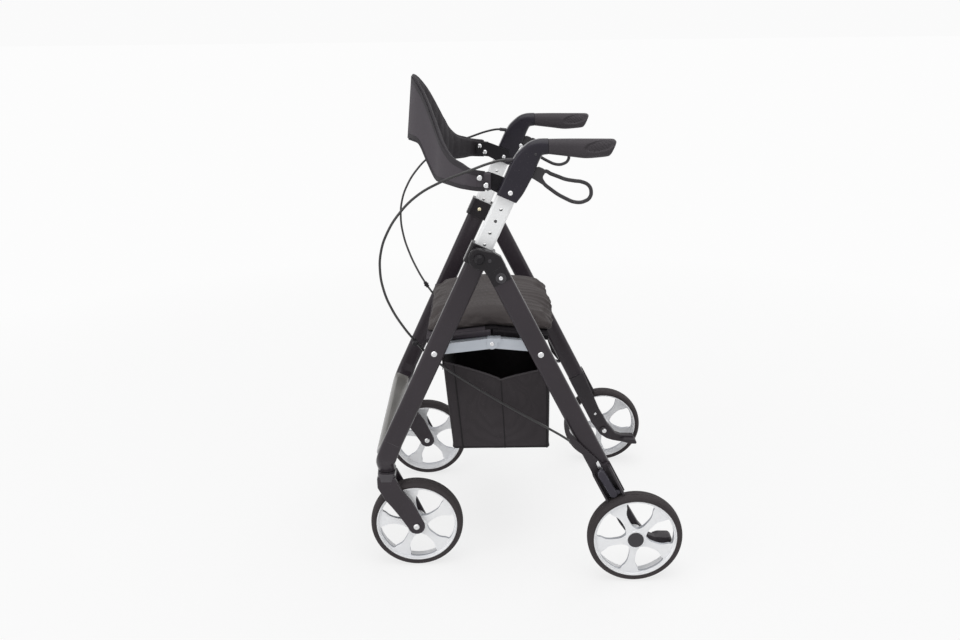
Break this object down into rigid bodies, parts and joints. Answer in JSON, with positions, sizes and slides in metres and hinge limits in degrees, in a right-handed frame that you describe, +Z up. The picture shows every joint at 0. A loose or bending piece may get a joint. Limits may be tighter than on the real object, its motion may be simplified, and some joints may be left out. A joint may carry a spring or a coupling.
{
  "type": "four-wheel rollator",
  "caption": "Folding rollator walker with swivel front wheels, loop brakes, height-adjustable handles, padded seat, backrest band and under-seat bag.",
  "frame": {"origin": "on the floor, midway between the front and rear axles and between the two sides", "axes": "+X towards the user who pushes it, +Y to the user's right side as they face -X, +Z up"},
  "size_m": [0.6636, 0.6178, 1.0298],
  "materials": {
    "frame_tube": "satin charcoal powder coat on flat aluminium tube",
    "moulding": "satin black moulded nylon",
    "height_post": "bright anodised",
    "link_metal": "silver-grey paint on pressed steel",
    "bolt_metal": "bright domed heads",
    "axle_metal": "black cap on a steel axle",
    "seat_board": "satin black board",
    "cushion": "woven charcoal cover over foam",
    "backrest": "purple-grey woven cover with black piping",
    "bag": "black nylon cloth",
    "grip": "satin black moulded grip",
    "brake_metal": "dark painted arm",
    "cable": "black plastic cable housing",
    "tyre": "dark grey solid tyre",
    "hub": "silver moulded five-spoke hub"
  },
  "bodies": {
    "front_frame": {"frame_leg_left": "frame_tube", "frame_leg_right": "frame_tube", "collar_left": "moulding", "collar_right": "moulding", "lock_bolt_left": "moulding", "lock_bolt_right": "moulding", "link_bolt_front_left": "bolt_metal", "link_bolt_front_right": "bolt_metal", "frame_crossbar": "frame_tube", "bag": "bag"},
    "rear_frame": {"rear_leg_left": "frame_tube", "rear_leg_right": "frame_tube", "hinge_bracket_left": "moulding", "hinge_bracket_right": "moulding", "link_bolt_rear_left": "bolt_metal", "link_bolt_rear_right": "bolt_metal", "rear_bracket_left": "moulding", "rear_bracket_right": "moulding", "brake_housing_left": "moulding", "brake_housing_right": "moulding", "rear_axle_left": "axle_metal", "rear_axle_right": "axle_metal", "cable_lower_left": "cable", "cable_lower_right": "cable"},
    "front_links": {"link_front_left": "link_metal", "link_front_right": "link_metal", "seat_board_front": "seat_board", "cushion_front": "cushion"},
    "rear_links": {"link_rear_left": "link_metal", "link_rear_right": "link_metal", "seat_board_rear": "seat_board", "cushion_rear": "cushion"},
    "handle_frame": {"height_post_left": "height_post", "height_post_right": "height_post", "handle_housing_left": "moulding", "handle_housing_right": "moulding", "grip_left": "grip", "grip_right": "grip", "backrest_bracket_left": "moulding", "backrest_bracket_right": "moulding", "cable_upper_left": "cable", "cable_upper_right": "cable", "backrest": "backrest"},
    "brake_lever_left": {"brake_lever_left": "moulding"},
    "brake_arm_left": {"brake_arm_left": "brake_metal"},
    "caster_left": {"caster_fork_left": "frame_tube", "front_axle_bolt_left": "bolt_metal"},
    "front_wheel_left": {"front_tyre_left": "tyre", "front_hub_left": "hub"},
    "rear_wheel_left": {"rear_tyre_left": "tyre", "rear_hub_left": "hub"},
    "brake_lever_right": {"brake_lever_right": "moulding"},
    "brake_arm_right": {"brake_arm_right": "brake_metal"},
    "caster_right": {"caster_fork_right": "frame_tube", "front_axle_bolt_right": "bolt_metal"},
    "front_wheel_right": {"front_tyre_right": "tyre", "front_hub_right": "hub"},
    "rear_wheel_right": {"rear_tyre_right": "tyre", "rear_hub_right": "hub"}
  },
  "joints": [
    {"name": "fold", "type": "hinge", "parent": "front_frame", "child": "rear_frame", "pos_m": [-0.0895, 0, 0.6985], "axis": [0, 1, 0], "range_deg": [0, 30]},
    {"name": "front_link_pivot", "type": "hinge", "parent": "front_frame", "child": "front_links", "pos_m": [-0.18308, 0, 0.49664], "axis": [0, -1, 0], "range_deg": [0, 29]},
    {"name": "rear_link_pivot", "type": "hinge", "parent": "front_links", "child": "rear_links", "pos_m": [-0.0657, 0, 0.50969], "axis": [0, 1, 0], "range_deg": [0, 111.5]},
    {"name": "handle_height", "type": "slide", "parent": "front_frame", "child": "handle_frame", "axis": [-0.4206, 0, -0.9072], "range_m": [0, 0.1016]},
    {"name": "brake_lever_left_pivot", "type": "hinge", "parent": "handle_frame", "child": "brake_lever_left", "pos_m": [0.00792, -0.241, 0.85972], "axis": [0, -1, 0], "range_deg": [0, 15], "stiffness_Nm_per_rad": 1},
    {"name": "brake_arm_left_pivot", "type": "hinge", "parent": "rear_frame", "child": "brake_arm_left", "pos_m": [0.19326, -0.2881, 0.20397], "axis": [0, -1, 0], "range_deg": [0, 3.8], "stiffness_Nm_per_rad": 1},
    {"name": "caster_left_swivel", "type": "hinge", "parent": "front_frame", "child": "caster_left", "pos_m": [-0.2922, -0.218, 0.2255], "axis": [0, 0, 1], "continuous": true},
    {"name": "front_wheel_left_spin", "type": "hinge", "parent": "caster_left", "child": "front_wheel_left", "pos_m": [-0.2312, -0.218, 0.1], "axis": [0, 1, 0], "continuous": true},
    {"name": "rear_wheel_left_spin", "type": "hinge", "parent": "rear_frame", "child": "rear_wheel_left", "pos_m": [0.2312, -0.2881, 0.1], "axis": [0, 1, 0], "continuous": true},
    {"name": "brake_lever_right_pivot", "type": "hinge", "parent": "handle_frame", "child": "brake_lever_right", "pos_m": [0.00792, 0.241, 0.85972], "axis": [0, -1, 0], "range_deg": [0, 15], "stiffness_Nm_per_rad": 1},
    {"name": "brake_arm_right_pivot", "type": "hinge", "parent": "rear_frame", "child": "brake_arm_right", "pos_m": [0.19326, 0.2881, 0.20397], "axis": [0, -1, 0], "range_deg": [0, 3.8], "stiffness_Nm_per_rad": 1},
    {"name": "caster_right_swivel", "type": "hinge", "parent": "front_frame", "child": "caster_right", "pos_m": [-0.2922, 0.218, 0.2255], "axis": [0, 0, 1], "continuous": true},
    {"name": "front_wheel_right_spin", "type": "hinge", "parent": "caster_right", "child": "front_wheel_right", "pos_m": [-0.2312, 0.218, 0.1], "axis": [0, 1, 0], "continuous": true},
    {"name": "rear_wheel_right_spin", "type": "hinge", "parent": "rear_frame", "child": "rear_wheel_right", "pos_m": [0.2312, 0.2881, 0.1], "axis": [0, 1, 0], "continuous": true}
  ],
  "couplings": [
    {"joint": "front_link_pivot", "follows": "fold", "ratio": 0.963},
    {"joint": "rear_link_pivot", "follows": "fold", "ratio": 3.71},
    {"joint": "brake_arm_left_pivot", "follows": "brake_lever_left_pivot", "ratio": 0.25},
    {"joint": "brake_arm_right_pivot", "follows": "brake_lever_right_pivot", "ratio": 0.25}
  ]
}
